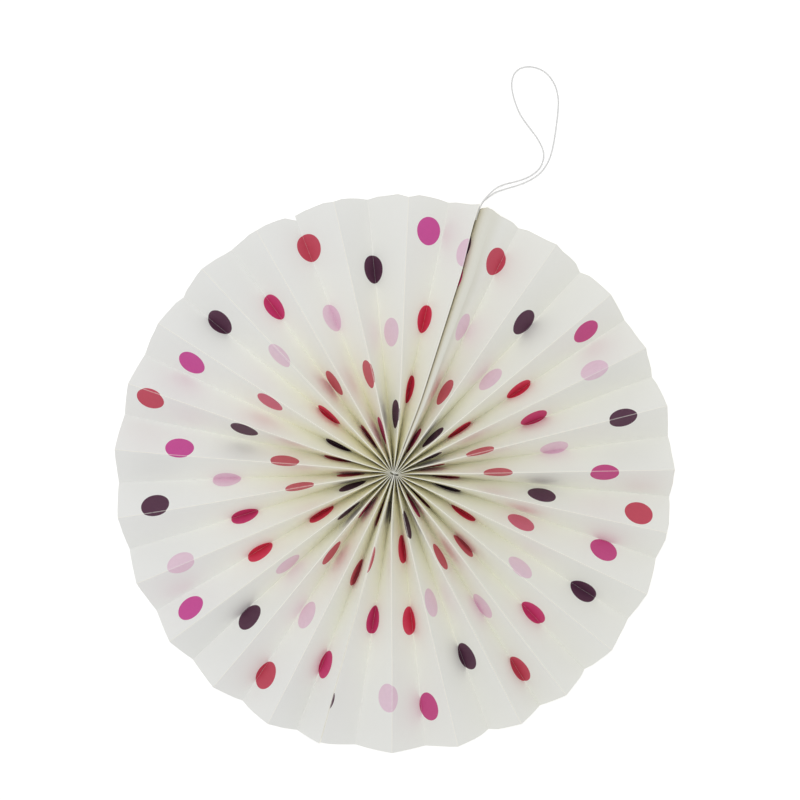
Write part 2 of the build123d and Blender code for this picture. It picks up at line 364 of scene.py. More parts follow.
def pleated_sheet_tree():
    """A strip folded by its table of folds, wrapped round the centre, with its own thickness."""
    group = bpy.data.node_groups.new("pleated_sheet", "GeometryNodeTree")
    sockets = group.interface.new_socket
    sockets("Geometry", in_out="OUTPUT", socket_type="NodeSocketGeometry")
    sockets("Geometry", in_out="INPUT", socket_type="NodeSocketGeometry")
    for label, size in SHEET_SIZES:
        sockets(label, in_out="INPUT", socket_type="NodeSocketFloat").default_value = size
    for label, count in (("Rows", SHEET_ROWS), ("Seed", 1)):
        sockets(label, in_out="INPUT", socket_type="NodeSocketInt").default_value = count
    sockets("Print", in_out="INPUT", socket_type="NodeSocketObject")
    for label in SHEET_SIDES:
        sockets(label, in_out="INPUT", socket_type="NodeSocketMaterial")
    g = Tree(group)
    start = group.nodes.new("NodeGroupInput")
    given = {socket.name: Field(g, socket) for socket in start.outputs if socket.name}
    table, paper, rows = given["Geometry"], given["Paper"], given["Rows"]
    eye, rim = given["Eye Radius"], given["Rim Radius"]

    def named(key, kind="FLOAT"):
        return g.add("GeometryNodeInputNamedAttribute", key, data_type=kind)

    def look_up(geometry, value, index, kind="FLOAT"):
        return g.add("GeometryNodeSampleIndex", geometry, value, index, data_type=kind, clamp=True)

    def keep(geometry, key, value, kind="FLOAT", domain="POINT"):
        return g.add("GeometryNodeStoreNamedAttribute", data_type=kind, domain=domain,
                     into={"Geometry": geometry, "Name": key, "Value": value})

    def grid(across, along):
        mesh = g.add("GeometryNodeMeshGrid", across - 1, along - 1, across, along)
        x, y, _ = g.parts(g.add("GeometryNodeInputPosition"))
        column = g.add("ShaderNodeMath", x + (across - 1) / 2, operation="ROUND")
        row = g.add("ShaderNodeMath", y + (along - 1) / 2, operation="ROUND")
        return mesh, column, row

    def place(geometry, position):
        return g.add("GeometryNodeSetPosition", into={"Geometry": geometry, "Position": position})

    def drawn_lots(limit, identity, seed, outward=1.0):
        """A random number for each identity, from -limit to limit, or to a share of it outward."""
        return g.add("FunctionNodeRandomValue", data_type="FLOAT", into={
            "Min": limit * -1.0, "Max": limit * outward, "ID": identity, "Seed": seed})

    # the fold lines on their own, as a grid of folds by rows: along, share, height
    folds = g.add("GeometryNodeAttributeDomainSize", table)
    lines, fold, row = grid(folds, rows)
    share = g.add("ShaderNodeMath", row / (rows - 1), ROW_EASING, operation="POWER")
    from_table = {key: look_up(table, named(key), fold) for key in TABLE_COLUMNS}
    radius = eye + (rim - eye) * share
    early = (1.0 - share) * (1.0 - 2.0 * share)
    sway = drawn_lots(given["Sway"], fold, given["Seed"])
    pitch = g.add("ShaderNodeMath", radius * MEAN_SPREAD - SWAY_MARGIN, 0.0, operation="MAXIMUM")
    bent = sway * pitch * g.add("ShaderNodeMath", 1.0 - share, 3.0, operation="POWER")
    at_seam = g.less(from_table["eye_shift"] * from_table["eye_shift"], 1e-18)
    bent = bent * (1.0 - at_seam)
    along = radius * from_table["turn"] + from_table["aside"] + early * from_table["eye_shift"]
    leaning = g.ramp(share, LEAN_START, LEAN_FULL) * g.ramp(share, LEAN_EASES, LEAN_OVER, 1.0, LEAN_LEFT)
    along = along + from_table["mouth"] * share + bent + from_table["lean"] * leaning
    rounded = given["Fold Round"] * from_table["round"] * g.fade(radius, ROUND_SPAN)
    rim_pitch, rim_rise = from_table["rim_pitch"], from_table["rim_rise"]
    at_rim = g.add("ShaderNodeMath", rim_pitch * rim_pitch + rim_rise * rim_rise, operation="SQRT")
    width = given["Panel Width"] + share * (at_rim - given["Panel Width"])
    spread = share * rim_pitch
    standing = g.add("ShaderNodeMath", width * width - spread * spread, operation="SQRT")
    height = from_table["lift"] * standing + from_table["base"] - from_table["sag"] * share
    height = height + rounded * (2.0 * from_table["valley"] - 1.0)
    lines = keep(lines, "rim_end", from_table["trim"])
    lines = keep(lines, "rim_start", from_table["trim"] + from_table["step"])
    lines = keep(lines, "valley", from_table["valley"])
    lines = keep(lines, "rounded", rounded)
    lines = keep(lines, "thickness", paper * g.fade(radius, THIN_SPAN, THIN_SHARE, kind="LINEAR"))
    lines = keep(lines, "soft_fold", from_table["soft"])
    lines = keep(lines, "strip_along", from_table["strip"])
    lines = place(lines, g.vector(along, share, height))

    # the sheet itself: the columns beside a fold turn round it, the others cross the flat panel
    columns = (folds - 1) * COLUMNS_PER_PANEL + 1
    sheet, column, row = grid(columns, rows)
    panel = g.add("ShaderNodeMath", (column + 0.01) / COLUMNS_PER_PANEL, operation="FLOOR")
    step = column - panel * COLUMNS_PER_PANEL

    def at_fold(number, value=None, kind="FLOAT"):
        number = g.clamp(number, 0.0, 1000.0)
        number = g.add("ShaderNodeMath", number, folds - 1, operation="MINIMUM")
        value = named(value) if value else g.add("GeometryNodeInputPosition")
        return look_up(lines, value, number * rows + row, kind)

    # the fold before the panel's own two, those two, and the one after them
    nearby = (-1, 0, 1, 2)
    corners = [at_fold(panel + offset, kind="FLOAT_VECTOR") for offset in nearby]
    valleys = [at_fold(panel + offset, "valley") for offset in nearby]
    rounds = [at_fold(panel + offset, "rounded") for offset in nearby]
    paper = at_fold(panel, "thickness")

    def facing(number):
        """The way that the panel after fold corners[number] faces."""
        run = corners[number + 1] - corners[number]
        across, _, up = g.parts(run)
        length = g.add("ShaderNodeMath", across * across + up * up, operation="SQRT")
        change = valleys[number + 1] - valleys[number]
        offset = paper + rounds[number] + rounds[number + 1]
        tuck = g.add("ShaderNodeMath", offset * change / (length + 1e-9), operation="ARCSINE")
        lean = g.add("ShaderNodeMath", up, across, operation="ARCTAN2") - tuck
        return g.vector(g.add("ShaderNodeMath", lean, operation="SINE") * -1.0, 0.0,
                        g.add("ShaderNodeMath", lean, operation="COSINE"))

    own = facing(1)
    first = g.less(panel, 0.5)
    last = g.less(folds - 2.5, panel)
    before = g.blend(first, facing(0), own)
    after = g.blend(last, facing(2), own)
    own = g.blend(g.less(folds - 1.5, panel), own, facing(0))
    flat_columns = COLUMNS_PER_PANEL - 2 * FOLD_COLUMNS
    to_before = g.clamp(1.0 - step / FOLD_COLUMNS)
    to_after = g.clamp((step - (FOLD_COLUMNS + flat_columns)) / FOLD_COLUMNS)
    at_start = g.unit(g.blend(to_before, own, g.unit(before + own)))
    at_end = g.unit(g.blend(to_after, own, g.unit(own + after)))
    way = g.clamp((step - FOLD_COLUMNS) / flat_columns)
    bow = drawn_lots(given["Bow"], panel, given["Seed"] + 7)
    bowed = g.add("ShaderNodeMath", way * math.pi, operation="SINE")
    _, share, _ = g.parts(corners[1])
    run = g.add("ShaderNodeVectorMath", corners[2] - corners[1], operation="LENGTH", out=0)
    bulge = own * (bow * bowed * share * (1.5 - 0.5 * share) * (run / given["Panel Width"]))

    def skin(start_lift, end_lift):
        return g.blend(way, corners[1] + at_start * start_lift, corners[2] + at_end * end_lift) + bulge

    puffed = [rounds[number] * (1.0 - 2.0 * valleys[number]) for number in (1, 2)]
    front = skin(paper * (1.0 - valleys[1]) + puffed[0], paper * (1.0 - valleys[2]) + puffed[1])
    back = skin(puffed[0] - paper * valleys[1], puffed[1] - paper * valleys[2])

    # the cut at the rim, uneven at some folds
    from_start, from_end = way * run, (1.0 - way) * run
    trim = 0.0
    for key, number, distance in (("rim_start", panel, from_start), ("rim_end", panel + 1, from_end)):
        cut = at_fold(number, key)
        notch = NOTCH_REACH + g.add("ShaderNodeMath", cut, operation="ABSOLUTE") * NOTCH_SLOPE
        trim = trim + cut * g.clamp(1.0 - distance / notch)
    nearest_fold = g.add("ShaderNodeMath", (column + COLUMNS_PER_PANEL / 2) / COLUMNS_PER_PANEL,
                         operation="FLOOR")
    play = drawn_lots(given["Rim Play"], nearest_fold, given["Seed"] + 3, OUTWARD_PLAY)
    short = (trim + play) * g.ramp(share, TRIM_START, 1.0, kind="LINEAR")
    radius = eye + (rim - eye) * share

    def wrapped(point):
        """From along, share and height to its place round the centre, with the eye drawn into a slot."""
        along, _, height = g.parts(point)
        bearing = given["Seam Bearing"] + given["Hand"] * along / radius
        reach = radius + short
        x = g.add("ShaderNodeMath", bearing, operation="SINE")
        y = g.add("ShaderNodeMath", bearing, operation="COSINE")
        around = (given["Eye Bearing"] - bearing) / TAU + 4.0
        slot = g.add("GeometryNodeCurvePrimitiveCircle", SLOT_POINTS, 1.0, mode="RADIUS")
        slot = g.add("GeometryNodeTransform", into={
            "Geometry": slot, "Scale": g.vector(given["Eye Length"], given["Eye Width"], 1.0),
            "Rotation": g.vector(0.0, 0.0, math.pi / 2 - given["Eye Bearing"])})
        slot_point = g.add("GeometryNodeSampleCurve", out="Position", mode="FACTOR", into={
            "Curves": slot, "Factor": g.add("ShaderNodeMath", around, operation="FRACT")})
        circle_point = g.vector(x * eye, y * eye, 0.0)
        drawn = 1.0 - g.ramp(radius - eye, 0.0, given["Eye Reach"])
        return g.vector(x * reach, y * reach, height) + (slot_point - circle_point) * drawn

    sheet = keep(sheet, "front_place", wrapped(front), "FLOAT_VECTOR")
    sheet = keep(sheet, "back_place", wrapped(back), "FLOAT_VECTOR")
    strip = g.blend(way, at_fold(panel, "strip_along"), at_fold(panel + 1, "strip_along"))
    sheet = keep(sheet, "strip", g.vector(strip, radius + short, 0.0), "FLOAT_VECTOR")
    sheet = keep(sheet, "from_fold", g.add("ShaderNodeMath", from_start, from_end, operation="MINIMUM"))
    sheet = keep(sheet, "at_valley", g.blend(way, valleys[1], valleys[2]))
    sheet = keep(sheet, "hand", given["Hand"])
    softness = g.blend(way, at_fold(panel, "soft_fold"), at_fold(panel + 1, "soft_fold"))
    sheet = keep(sheet, "softness", softness)

    # which printed spot is nearest to each face, and how far each corner is from its middle
    inks = g.add("GeometryNodeObjectInfo", given["Print"], out="Geometry", transform_space="ORIGINAL")
    strip = named("strip", "FLOAT_VECTOR")
    nearest = g.add("GeometryNodeSampleNearest", inks, strip)
    sheet = keep(sheet, "spot", nearest, "INT", "FACE")
    spot = named("spot", "INT")
    middle = look_up(inks, g.add("GeometryNodeInputPosition"), spot, "FLOAT_VECTOR")
    sheet = keep(sheet, "from_spot", strip - middle, "FLOAT_VECTOR", "CORNER")
    tint = look_up(inks, named("tint", "FLOAT_COLOR"), spot, "FLOAT_COLOR")
    sheet = keep(sheet, "spot_tint", tint, "FLOAT_COLOR", "CORNER")
    sheet = keep(sheet, "strip_map", strip, "FLOAT2", "CORNER")

    # thickness: the back skin turned over, the front skin raised from it, walls between
    under = place(g.add("GeometryNodeFlipFaces", sheet), named("back_place", "FLOAT_VECTOR"))
    under = keep(under, "side", 1, "INT", "FACE")
    sheet = place(sheet, named("back_place", "FLOAT_VECTOR"))
    sheet = keep(sheet, "side", 2, "INT", "FACE")
    raised = group.nodes.new("GeometryNodeExtrudeMesh")
    g.feed(sheet, raised.inputs["Mesh"])
    raised.inputs["Offset Scale"].default_value = 0.0
    raised.inputs["Individual"].default_value = False
    sheet, top = Field(g, raised.outputs["Mesh"]), Field(g, raised.outputs["Top"])
    sheet = g.add("GeometryNodeStoreNamedAttribute", data_type="INT", domain="FACE",
                  into={"Geometry": sheet, "Selection": top, "Name": "side", "Value": 0})
    sheet = g.add("GeometryNodeSetPosition", into={
        "Geometry": sheet, "Selection": top, "Position": named("front_place", "FLOAT_VECTOR")})
    joined = group.nodes.new("GeometryNodeJoinGeometry")
    for part in (under, sheet):
        g.feed(part, joined.inputs[0])
    whole = g.add("GeometryNodeMergeByDistance",
                  into={"Geometry": Field(g, joined.outputs[0]), "Distance": WELD})
    whole = g.add("GeometryNodeSetShadeSmooth", domain="FACE",
                  into={"Geometry": whole, "Shade Smooth": True})
    bend = g.add("GeometryNodeInputMeshEdgeAngle", out="Unsigned Angle")
    sharp = g.less(SHARP_BEND + g.ramp(named("softness"), 0.5, 1.0) * SOFT_CREST_BEND, bend)
    whole = g.add("GeometryNodeSetShadeSmooth", domain="EDGE",
                  into={"Geometry": whole, "Selection": sharp, "Shade Smooth": False})
    whole = g.add("GeometryNodeRealizeInstances", into={"Geometry": whole})
    side = named("side", "INT")
    for number, label in enumerate(SHEET_SIDES):
        chosen = g.add("FunctionNodeCompare", side, number, data_type="INT", operation="EQUAL")
        whole = g.add("GeometryNodeSetMaterial", into={
            "Geometry": whole, "Selection": chosen, "Material": given[label]})
    end = group.nodes.new("NodeGroupOutput")
    g.feed(whole, end.inputs[0])
    return group


def fill_modifier(modifier, group, values):
    """Sets a tree's named inputs on its modifier."""
    modifier.node_group = group
    for item in group.interface.items_tree:
        if item.item_type == "SOCKET" and item.in_out == "INPUT" and item.name in values:
            modifier[item.identifier] = values[item.name]


def plain_mesh(made, name):
    """The evaluated shape as a mesh of its own, in place of its recipe."""
    depsgraph = bpy.context.evaluated_depsgraph_get()
    mesh = bpy.data.meshes.new_from_object(
        made.evaluated_get(depsgraph), preserve_all_data_layers=True, depsgraph=depsgraph)
    mesh.name = name
    if mesh.materials and mesh.materials[0] is None:
        mesh.materials.pop(index=0)
    bpy.data.objects.remove(made)
    return put(name, mesh)


def folded_sheet(name, rows, spots, hand, seed, materials, tree):
    """One sheet from its fold table and its print: hand is 1 clockwise from the upper seam, or -1."""
    printed = print_object(name + "_print", spots)
    table = table_object(name + "_folds", rows)
    modifier = table.modifiers.new("pleats", "NODES")
    values = {"Hand": float(hand), "Seed": seed, "Print": printed}
    values.update(zip(SHEET_SIDES, materials))
    fill_modifier(modifier, tree, values)
    bpy.context.view_layer.update()
    piece = plain_mesh(table, name)
    bpy.data.objects.remove(printed)
    for key in ("front_place", "back_place", "strip", "spot", "side"):
        if key in piece.data.attributes:
            piece.data.attributes.remove(piece.data.attributes[key])
    return piece


# ------------------------------------------------------------------ finishes
def new_material(name):
    material = bpy.data.materials.new(name)
    material.use_nodes = True
    return material, Tree(material.node_tree), material.node_tree.nodes["Principled BSDF"]


def noise(t, place, scale, detail=3.0, roughness=0.55):
    return t.add("ShaderNodeTexNoise", out=0, into={
        "Vector": place, "Scale": scale, "Detail": detail, "Roughness": roughness})


def raise_bump(t, shader, height, strength, distance):
    bump = t.add("ShaderNodeBump", into={"Strength": strength, "Distance": distance, "Height": height})
    t.feed(bump, shader.inputs["Normal"])


def paper_grain(t, shader, place, strength):
    """Short fibres and a faint unevenness of the sheet."""
    fibre = noise(t, place * (2.2, 0.7, 1.0), 1500.0, 2.0)
    cloud = noise(t, place, 260.0, 3.0)
    raise_bump(t, shader, fibre * 0.6 + cloud * 0.8, strength, 0.03 * MM)
    return fibre, cloud


PAPER_WHITE = (0.935, 0.938, 0.908)
PAPER_RIM = (0.89, 0.893, 0.873)
# a cream that is partly the paper's own tone and partly painted shade of light bounced in the deep folds
PAPER_CREAM_AND_FOLD_SHADE = (0.95, 0.925, 0.765)
# a darker, creamier tone that grows towards the right side of the fan
PAPER_RIGHTWARD_TONE = (0.90, 0.90, 0.83)
# painted shade beside the upper seam: lighter on the first panel, darker down the lip into the slot
PAPER_SEAM_SHADE = (0.82, 0.815, 0.735)
PAPER_SLOT_SHADE = (0.62, 0.575, 0.44)
# painted shade for the valleys near the eye
PAPER_FURROW_SHADE = (0.50, 0.46, 0.32)
PAPER_FLECK = (0.93, 0.925, 0.88)
# painted highlight along the crests of the folds
PAPER_CREST_HIGHLIGHT = (0.985, 0.965, 0.87)
PLAIN_FLECK = (0.94, 0.93, 0.88)

# Where a tone fades in or out, in mm from the centre.
CREAM_AND_SHADE_FADE = (2.0, 118.0)
EYE_WHITE_FADE = (1.5, 7.0)
RIM_FADE = (90.0, 140.0)
# painted shade in the valleys: where it fades in and out again
FURROW_SHADE_FADE_IN, FURROW_SHADE_FADE_OUT = (3.0, 6.0), (6.0, 16.0)
# painted shade on the ink near the eye: where it starts to darken, and how much of its colour is left at
# the eye
INK_SHADE_FADE, INK_SHADE_AT_EYE = (8.0, 40.0), 0.4
GLOSS_FADE, INK_GLOSS = (20.0, 70.0), 0.24
# The same across the fan from left to right, and along the strip from the upper seam.
RIGHTWARD_TONE_FADE = (-90.0, 90.0)
# painted shade beside the upper seam, on the first panel and down the lip into the slot
SEAM_SHADE_FADE = (5.0, 14.0)
SLOT_SHADE_FADE_IN, SLOT_SHADE_FADE_OUT = (-12.0, -6.5), (-5.5, 2.0)
# The same from a fold, and how ragged the lines of wear and of the painted crest highlight are.
WORN_FADE, WORN_RAGGEDNESS = (0.12, 0.28), 0.28 * MM
CREST_HIGHLIGHT_FADE, CREST_HIGHLIGHT_RAGGEDNESS = (0.0, 0.10), 0.05 * MM
# How much of each tone there is at its strongest.
FURROW_SHADE_SHARE, RIGHTWARD_TONE_SHARE, WORN_SHARE, CREST_HIGHLIGHT_SHARE, GHOST_SHARE = 0.6, 0.5, 0.4, 0.9, 0.07
# A spot's edge, and that of its ghost on the back.
SPOT_SOFTNESS, SPOT_RAGGEDNESS, GHOST_SOFTNESS = 0.06 * MM, 0.12 * MM, 0.5 * MM
PRINTED_ROUGHNESS, PLAIN_ROUGHNESS, ROUGHNESS_PLAY = 0.82, 0.86, 0.12
PAPER_SPECULAR = 0.3


def paper_tone(t, place, strip_place):
    """Warm white, creamier towards the eye, partly the paper's own tone and partly painted shade of
    light bounced in the deep folds; with painted shade in the valleys near the eye and beside the upper
    seam, a darker, creamier tone towards the right, and soft clouds of tone.
    """
    x, y, _ = t.parts(place)
    radius = t.add("ShaderNodeMath", x * x + y * y, operation="SQRT")
    # painted shade: the paper turns creamier towards the eye, partly its own tone and partly standing in
    # for light bounced in the deep folds; the cream is taken off again at the eye itself
    inner = 1.0 - t.fade(radius, CREAM_AND_SHADE_FADE, kind="LINEAR")
    cloud = noise(t, strip_place, 60.0, 4.0)
    tone = t.clamp(inner * (0.15 + 0.85 * inner) + (cloud - 0.5) * 0.12)
    tone = tone * t.fade(radius, EYE_WHITE_FADE)
    ground = t.mix(t.fade(radius, RIM_FADE), PAPER_WHITE, PAPER_RIM)
    ground = t.mix(tone, ground, PAPER_CREAM_AND_FOLD_SHADE)
    # painted shade: darker olive paper in the valleys, from about 3 to 16 mm from the centre
    at_valley = t.stored("at_valley")
    furrow_shade = t.fade(radius, FURROW_SHADE_FADE_IN) * (1.0 - t.fade(radius, FURROW_SHADE_FADE_OUT))
    ground = t.mix(at_valley * at_valley * furrow_shade * FURROW_SHADE_SHARE, ground, PAPER_FURROW_SHADE)
    # the paper turns darker and creamier towards the right side of the fan
    ground = t.mix(t.fade(x, RIGHTWARD_TONE_FADE) * RIGHTWARD_TONE_SHARE, ground, PAPER_RIGHTWARD_TONE)
    # painted shade on the right sheet alone beside the upper seam: its first panel and its lip down into
    # the slot, where the left sheet's edge shades it
    along, _, _ = t.parts(strip_place)
    seam_shade_side = t.clamp(t.stored("hand"))
    ground = t.mix((1.0 - t.fade(along, SEAM_SHADE_FADE)) * seam_shade_side, ground, PAPER_SEAM_SHADE)
    slot_shade = t.fade(along, SLOT_SHADE_FADE_IN) * (1.0 - t.fade(along, SLOT_SHADE_FADE_OUT))
    return t.mix(slot_shade * seam_shade_side, ground, PAPER_SLOT_SHADE)


def paper_readings(t):
    """The place on the piece and on the strip, and the nearest spot's distance and ink."""
    place = t.add("ShaderNodeTexCoord", out="Object")
    strip = t.add("ShaderNodeUVMap", uv_map="strip_map")
    distance = t.add("ShaderNodeVectorMath", t.stored("from_spot", "Vector"), operation="LENGTH", out=0)
    return place, strip, distance, t.stored("spot_tint", "Color")


def printed_paper():
    """Uncoated paper with round printed spots, cracked along the folds that cross them."""
    material, t, shader = new_material("printed_paper")
    place, strip, distance, tint = paper_readings(t)
    from_fold = t.stored("from_fold")
    fibre, _ = paper_grain(t, shader, strip, 0.35)
    ragged = noise(t, strip, 2400.0, 2.0)
    edge = distance + (ragged - 0.5) * SPOT_RAGGEDNESS
    inked = 1.0 - t.ramp(edge, SPOT_RADIUS - SPOT_SOFTNESS, SPOT_RADIUS + SPOT_SOFTNESS)
    # ink wears off where a fold was pressed, and the crest of the fold gets a painted highlight of pale
    # paper
    crack = noise(t, strip * (3.0, 1.0, 1.0), 700.0, 3.0)
    creased = 1.0 - t.stored("softness")
    worn = creased * (1.0 - t.fade(from_fold + crack * WORN_RAGGEDNESS, WORN_FADE))
    inked = inked * (1.0 - worn * WORN_SHARE)
    crest = creased * (1.0 - t.stored("at_valley"))
    crest_highlight = crest * (1.0 - t.fade(from_fold + crack * CREST_HIGHLIGHT_RAGGEDNESS, CREST_HIGHLIGHT_FADE))
    mottle = noise(t, strip, 420.0, 3.0)
    ink = t.mix(t.clamp(mottle * 0.22), (1.0, 1.0, 1.0), (0.55, 0.5, 0.5))
    ink = t.add("ShaderNodeVectorMath", tint, ink, operation="MULTIPLY")
    _, reach, _ = t.parts(strip)
    # painted shade: the ink darkens towards the eye
    ink = ink * t.fade(reach, INK_SHADE_FADE, INK_SHADE_AT_EYE, kind="LINEAR")
    ground = paper_tone(t, place, strip)
    ground = t.mix(t.clamp((fibre - 0.42) * 0.35), ground, PAPER_FLECK)
    # painted highlight on the fold crests
    ground = t.mix(crest_highlight * CREST_HIGHLIGHT_SHARE, ground, PAPER_CREST_HIGHLIGHT)
    t.feed(t.mix(inked, ground, ink), shader.inputs["Base Color"])
    gloss = inked * t.fade(reach, GLOSS_FADE, 0.0, INK_GLOSS)
    t.feed(PRINTED_ROUGHNESS - gloss + (fibre - 0.5) * ROUGHNESS_PLAY, shader.inputs["Roughness"])
    shader.inputs["Specular IOR Level"].default_value = PAPER_SPECULAR
    return material


def plain_paper():
    """The unprinted side, with a faint ghost of the spots through it."""
    material, t, shader = new_material("plain_paper")
    place, strip, distance, tint = paper_readings(t)
    fibre, _ = paper_grain(t, shader, strip, 0.45)
    ghost = 1.0 - t.ramp(distance, SPOT_RADIUS - GHOST_SOFTNESS, SPOT_RADIUS + GHOST_SOFTNESS)
    ground = paper_tone(t, place, strip)
    ground = t.mix(t.clamp((fibre - 0.42) * 0.5), ground, PLAIN_FLECK)
    t.feed(t.mix(ghost * GHOST_SHARE, ground, tint), shader.inputs["Base Color"])
    t.feed(PLAIN_ROUGHNESS + (fibre - 0.5) * ROUGHNESS_PLAY, shader.inputs["Roughness"])
    shader.inputs["Specular IOR Level"].default_value = PAPER_SPECULAR
    return material


def cut_edge():
    """Where the sheet was cut: a little greyer and rougher than its faces, with loose fibres."""
    material, t, shader = new_material("cut_paper_edge")
    place = t.add("ShaderNodeTexCoord", out="Object")
    fibre, cloud = paper_grain(t, shader, place, 0.8)
    colour = t.mix(t.clamp(cloud * 0.5 + fibre * 0.3), (0.90, 0.89, 0.84), (0.80, 0.79, 0.72))
    t.feed(colour, shader.inputs["Base Color"])
    shader.inputs["Roughness"].default_value = 0.9
    return material


def white_thread():
    """Spun thread: fine fibres along each ply and a soft fuzz of light at its sides."""
    material, t, shader = new_material("white_thread")
    run = t.add("ShaderNodeUVMap", uv_map="thread_map")
    fibre = noise(t, run * (900.0, 6.0, 1.0), 1.0, 3.0)
    slub = noise(t, run * (160.0, 1.0, 1.0), 1.0, 2.0)
    shade = t.clamp(fibre * 0.7 + slub * 0.4 - 0.15)
    t.feed(t.mix(shade, (0.92, 0.92, 0.915), (0.83, 0.827, 0.82)), shader.inputs["Base Color"])
    raise_bump(t, shader, fibre + slub, 0.6, 0.03 * MM)
    shader.inputs["Roughness"].default_value = 0.75
    shader.inputs["Sheen Weight"].default_value = 0.35
    shader.inputs["Sheen Roughness"].default_value = 0.4
    return material


def clear_tape():
    """Double-sided film with a milky adhesive that pulls into streaks."""
    material, t, shader = new_material("clear_tape")
    place = t.add("ShaderNodeTexCoord", out="Object")
    streak = noise(t, place * (1.0, 1.0, 6.0), 320.0, 4.0)
    t.feed(t.mix(streak, (0.80, 0.79, 0.72), (0.90, 0.895, 0.86)), shader.inputs["Base Color"])
    t.feed(0.25 + streak * 0.3, shader.inputs["Roughness"])
    raise_bump(t, shader, streak, 0.3, 0.04 * MM)
    return material


# ------------------------------------------------------------------ threads
# The loop's outline, with the fluff that stands off its plies.
LOOP_FLUFF = 0.95 * MM
LOOP_STEP = 0.36 * MM
TIE_THREAD = 0.8 * MM
TIE_RADIUS = 7.4 * MM
TIE_POINTS = 150
KNOT_POINTS = 96
KNOT_SINK = 0.4 * MM
PLIES = 3
PLY_SHARE = 0.32

# The loop's way from the knot's outer face, round and back to it, in mm.
LOOP_ROUTE = (
    (43.8, 136.5, 10.2), (46.1, 144.2, 9.9),
    (50.9, 148.8, 6.2), (55.3, 152.1, 2.0), (60.9, 154.0, 0.48), (66.9, 155.7, 0.48),
    (73.3, 158.2, 0.48), (79.3, 162.1, 0.48), (83.6, 168.0, 0.48), (86.0, 175.2, 0.48),
    (87.5, 184.0, 0.48), (88.8, 194.0, 0.48), (89.4, 203.2, 0.48), (87.0, 211.8, 0.48),
    (81.4, 218.4, 0.48), (73.0, 220.9, 0.48), (66.0, 218.6, 0.48), (63.3, 211.9, 0.48),
    (64.7, 203.2, 0.48), (68.3, 194.0, 0.48), (73.5, 187.0, 0.48), (78.6, 180.3, 0.48),
    (81.8, 172.8, 0.48), (79.7, 165.2, 0.48), (73.6, 160.4, 0.48), (66.5, 157.9, 0.48),
    (60.6, 156.7, 0.48), (55.2, 154.2, 2.9), (50.7, 149.6, 7.6),
    (46.1, 144.2, 10.9), (43.8, 136.5, 11.1),
)


def smooth_line(points):
    """Points read along the smooth curve that the route's points control."""
    curve = bpy.data.curves.new("route", "CURVE")
    curve.dimensions = "3D"
    spline = curve.splines.new("NURBS")
    spline.points.add(len(points) - 1)
    for point, place in zip(spline.points, points):
        point.co = (*(part * MM for part in place), 1.0)
    spline.order_u = 3
    spline.use_endpoint_u = True
    spline.resolution_u = 28
    route = put("route", curve)
    bpy.context.view_layer.update()
    depsgraph = bpy.context.evaluated_depsgraph_get()
    mesh = bpy.data.meshes.new_from_object(route.evaluated_get(depsgraph))
    line = [vertex.co.copy() for vertex in mesh.vertices]
    bpy.data.objects.remove(route)
    bpy.data.curves.remove(curve)
    bpy.data.meshes.remove(mesh)
    return line


def length_of(line):
    return sum((b - a).length for a, b in zip(line, line[1:]))


def evenly(line, spacing):
    """The same line with its points a set distance apart."""
    count = max(8, round(length_of(line) / spacing))
    gap = length_of(line) / count
    even, walked, due = [line[0].copy()], 0.0, gap
    for a, b in zip(line, line[1:]):
        run = (b - a).length
        while due <= walked + run + 1e-12 and len(even) < count:
            even.append(a.lerp(b, (due - walked) / run))
            due += gap
        walked += run
    even.append(line[-1].copy())
    return even


def carried_frames(line, closed):
    """Direction, side and up at each point, turning no more than the line does."""
    count = len(line)
    directions = []
    for number in range(count):
        before = line[number - 1] if number or closed else line[0]
        after = line[(number + 1) % count] if number < count - 1 or closed else line[-1]
        directions.append((after - before).normalized())
    side = directions[0].orthogonal().normalized()
    frames = []
    for number, direction in enumerate(directions):
        if number:
            side = directions[number - 1].rotation_difference(direction) @ side
        side = (side - direction * side.dot(direction)).normalized()
        frames.append((direction, side, direction.cross(side)))
    return frames


def spun_thread(name, line, thickness, twist=2.6 * MM, sides=7, closed=False):
    """Plies wound round a line into a thread of the given thickness."""
    ply = thickness * PLY_SHARE
    centre_offset = thickness / 2 - ply
    frames = carried_frames(line, closed)
    verts, faces, maps = [], [], []
    total = length_of(line) + ((line[0] - line[-1]).length if closed else 0.0)
    turns = round(total / twist)
    count = len(line)
    for number_of_ply in range(PLIES):
        first = len(verts)
        walked = 0.0
        for number, (point, (direction, side, up)) in enumerate(zip(line, frames)):
            if number:
                walked += (point - line[number - 1]).length
            angle = TAU * (turns * walked / total + number_of_ply / PLIES)
            out = side * math.cos(angle) + up * math.sin(angle)
            around = direction.cross(out)
            slope = TAU * centre_offset * turns / total
            forward = (direction + around * slope).normalized()
            across = forward.cross(out).normalized()
            centre = point + out * centre_offset
            for corner in range(sides):
                turn = TAU * corner / sides
                verts.append(centre + (out * math.cos(turn) + across * math.sin(turn)) * ply)
                maps.append((walked, corner / sides))
        rings = count if closed else count - 1
        for ring in range(rings):
            here, there = first + ring * sides, first + ((ring + 1) % count) * sides
            for corner in range(sides):
                after = (corner + 1) % sides
                faces.append((here + corner, here + after, there + after, there + corner))
        if not closed:
            faces.append(tuple(first + corner for corner in reversed(range(sides))))
            faces.append(tuple(first + (count - 1) * sides + corner for corner in range(sides)))
    return thread_mesh(name, verts, faces, maps)


def thread_mesh(name, verts, faces, maps):
    """The plies as one smooth mesh, with the way along and round each ply as its map."""
    mesh = bpy.data.meshes.new(name)
    mesh.from_pydata([tuple(v) for v in verts], [], faces)
    layer = mesh.uv_layers.new(name="thread_map")
    for loop in mesh.loops:
        layer.data[loop.index].uv = maps[loop.vertex_index]
    mesh.shade_smooth()
    mesh.validate()
    return put(name, mesh)


